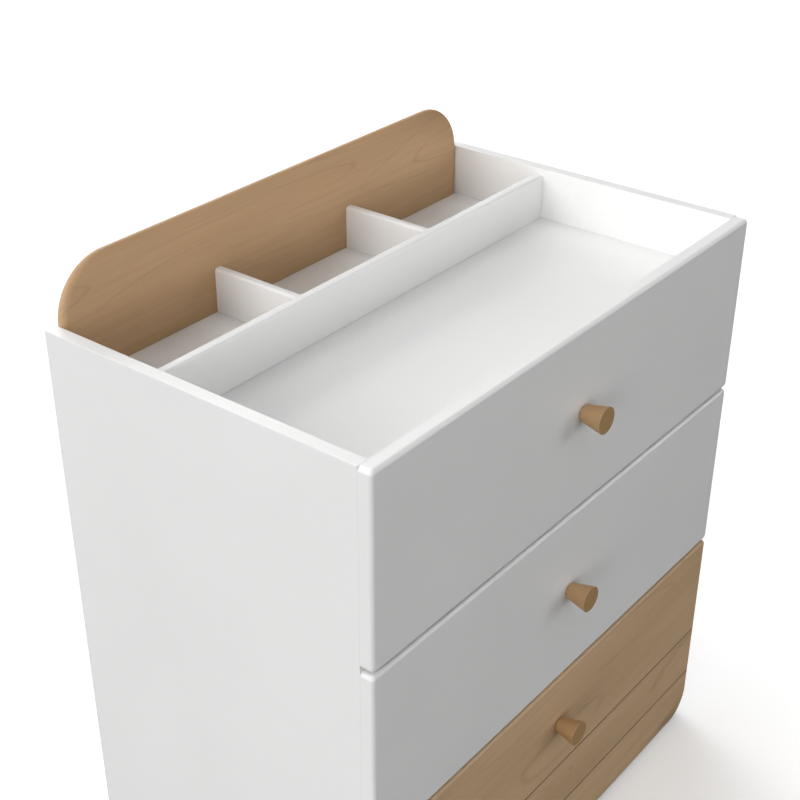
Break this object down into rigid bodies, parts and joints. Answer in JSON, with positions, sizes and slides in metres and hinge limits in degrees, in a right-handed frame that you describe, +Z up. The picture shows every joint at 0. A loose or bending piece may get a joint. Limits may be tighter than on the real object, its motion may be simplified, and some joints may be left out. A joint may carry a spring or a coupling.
{
  "type": "changing table",
  "caption": "Changing table: a chest of drawers with a sunken tray on top, divided storage behind it and a raised oak backboard with rounded corners.",
  "frame": {"origin": "on the floor, under the middle of the whole object's box, with the knobs counted in its depth", "axes": "+Z up; +X to the right seen from the front; the drawers open towards -Y and the backboard stands at +Y"},
  "size_m": [0.9, 0.5824, 1.064],
  "materials": {
    "white_lacquer": "satin white lacquer on wood-based board",
    "oak": "matt oiled oak, grain along the width",
    "drawer_box_foil": "white foil on particle board",
    "white_hardboard": "white painted hardboard",
    "zinc_steel": "bright zinc plated",
    "glide_plastic": "moulded"
  },
  "bodies": {
    "carcass": {"back_panel": "white_hardboard", "backboard": "oak", "bottom_drawer_slide_cabinet_left": "zinc_steel", "bottom_drawer_slide_cabinet_right": "zinc_steel", "bottom_panel": "white_lacquer", "front_rail_lower": "white_lacquer", "front_rail_upper": "white_lacquer", "glide_left_front": "glide_plastic", "glide_left_rear": "glide_plastic", "glide_right_front": "glide_plastic", "glide_right_rear": "glide_plastic", "long_divider": "white_lacquer", "middle_drawer_slide_cabinet_left": "zinc_steel", "middle_drawer_slide_cabinet_right": "zinc_steel", "plinth": "white_lacquer", "short_divider_left": "white_lacquer", "short_divider_right": "white_lacquer", "side_panel_left": "white_lacquer", "side_panel_right": "white_lacquer", "top_drawer_slide_cabinet_left": "zinc_steel", "top_drawer_slide_cabinet_right": "zinc_steel", "tray_floor": "white_lacquer", "wall_anchor_plate": "zinc_steel", "wall_anchor_screw_left": "zinc_steel", "wall_anchor_screw_right": "zinc_steel"},
    "top_drawer": {"top_drawer_back": "drawer_box_foil", "top_drawer_bottom": "white_hardboard", "top_drawer_front": "white_lacquer", "top_drawer_knob": "oak", "top_drawer_knob_screw": "zinc_steel", "top_drawer_side_left": "drawer_box_foil", "top_drawer_side_right": "drawer_box_foil", "top_drawer_slide_drawer_left": "zinc_steel", "top_drawer_slide_drawer_right": "zinc_steel"},
    "top_drawer_runner_left": {"top_drawer_slide_middle_left": "zinc_steel"},
    "top_drawer_runner_right": {"top_drawer_slide_middle_right": "zinc_steel"},
    "middle_drawer": {"middle_drawer_back": "drawer_box_foil", "middle_drawer_bottom": "white_hardboard", "middle_drawer_front": "white_lacquer", "middle_drawer_knob": "oak", "middle_drawer_knob_screw": "zinc_steel", "middle_drawer_side_left": "drawer_box_foil", "middle_drawer_side_right": "drawer_box_foil", "middle_drawer_slide_drawer_left": "zinc_steel", "middle_drawer_slide_drawer_right": "zinc_steel"},
    "middle_drawer_runner_left": {"middle_drawer_slide_middle_left": "zinc_steel"},
    "middle_drawer_runner_right": {"middle_drawer_slide_middle_right": "zinc_steel"},
    "bottom_drawer": {"bottom_drawer_back": "drawer_box_foil", "bottom_drawer_bottom": "white_hardboard", "bottom_drawer_front": "oak", "bottom_drawer_knob": "oak", "bottom_drawer_knob_screw": "zinc_steel", "bottom_drawer_side_left": "drawer_box_foil", "bottom_drawer_side_right": "drawer_box_foil", "bottom_drawer_slide_drawer_left": "zinc_steel", "bottom_drawer_slide_drawer_right": "zinc_steel"},
    "bottom_drawer_runner_left": {"bottom_drawer_slide_middle_left": "zinc_steel"},
    "bottom_drawer_runner_right": {"bottom_drawer_slide_middle_right": "zinc_steel"}
  },
  "joints": [
    {"name": "top_drawer_slide", "type": "slide", "parent": "carcass", "child": "top_drawer", "axis": [0, -1, 0], "range_m": [0, 0.44]},
    {"name": "top_drawer_runner_left_slide", "type": "slide", "parent": "carcass", "child": "top_drawer_runner_left", "axis": [0, -1, 0], "range_m": [0, 0.22]},
    {"name": "top_drawer_runner_right_slide", "type": "slide", "parent": "carcass", "child": "top_drawer_runner_right", "axis": [0, -1, 0], "range_m": [0, 0.22]},
    {"name": "middle_drawer_slide", "type": "slide", "parent": "carcass", "child": "middle_drawer", "axis": [0, -1, 0], "range_m": [0, 0.44]},
    {"name": "middle_drawer_runner_left_slide", "type": "slide", "parent": "carcass", "child": "middle_drawer_runner_left", "axis": [0, -1, 0], "range_m": [0, 0.22]},
    {"name": "middle_drawer_runner_right_slide", "type": "slide", "parent": "carcass", "child": "middle_drawer_runner_right", "axis": [0, -1, 0], "range_m": [0, 0.22]},
    {"name": "bottom_drawer_slide", "type": "slide", "parent": "carcass", "child": "bottom_drawer", "axis": [0, -1, 0], "range_m": [0, 0.44]},
    {"name": "bottom_drawer_runner_left_slide", "type": "slide", "parent": "carcass", "child": "bottom_drawer_runner_left", "axis": [0, -1, 0], "range_m": [0, 0.22]},
    {"name": "bottom_drawer_runner_right_slide", "type": "slide", "parent": "carcass", "child": "bottom_drawer_runner_right", "axis": [0, -1, 0], "range_m": [0, 0.22]}
  ],
  "couplings": [
    {"joint": "top_drawer_runner_left_slide", "follows": "top_drawer_slide", "ratio": 0.5},
    {"joint": "top_drawer_runner_right_slide", "follows": "top_drawer_slide", "ratio": 0.5},
    {"joint": "middle_drawer_runner_left_slide", "follows": "middle_drawer_slide", "ratio": 0.5},
    {"joint": "middle_drawer_runner_right_slide", "follows": "middle_drawer_slide", "ratio": 0.5},
    {"joint": "bottom_drawer_runner_left_slide", "follows": "bottom_drawer_slide", "ratio": 0.5},
    {"joint": "bottom_drawer_runner_right_slide", "follows": "bottom_drawer_slide", "ratio": 0.5}
  ]
}
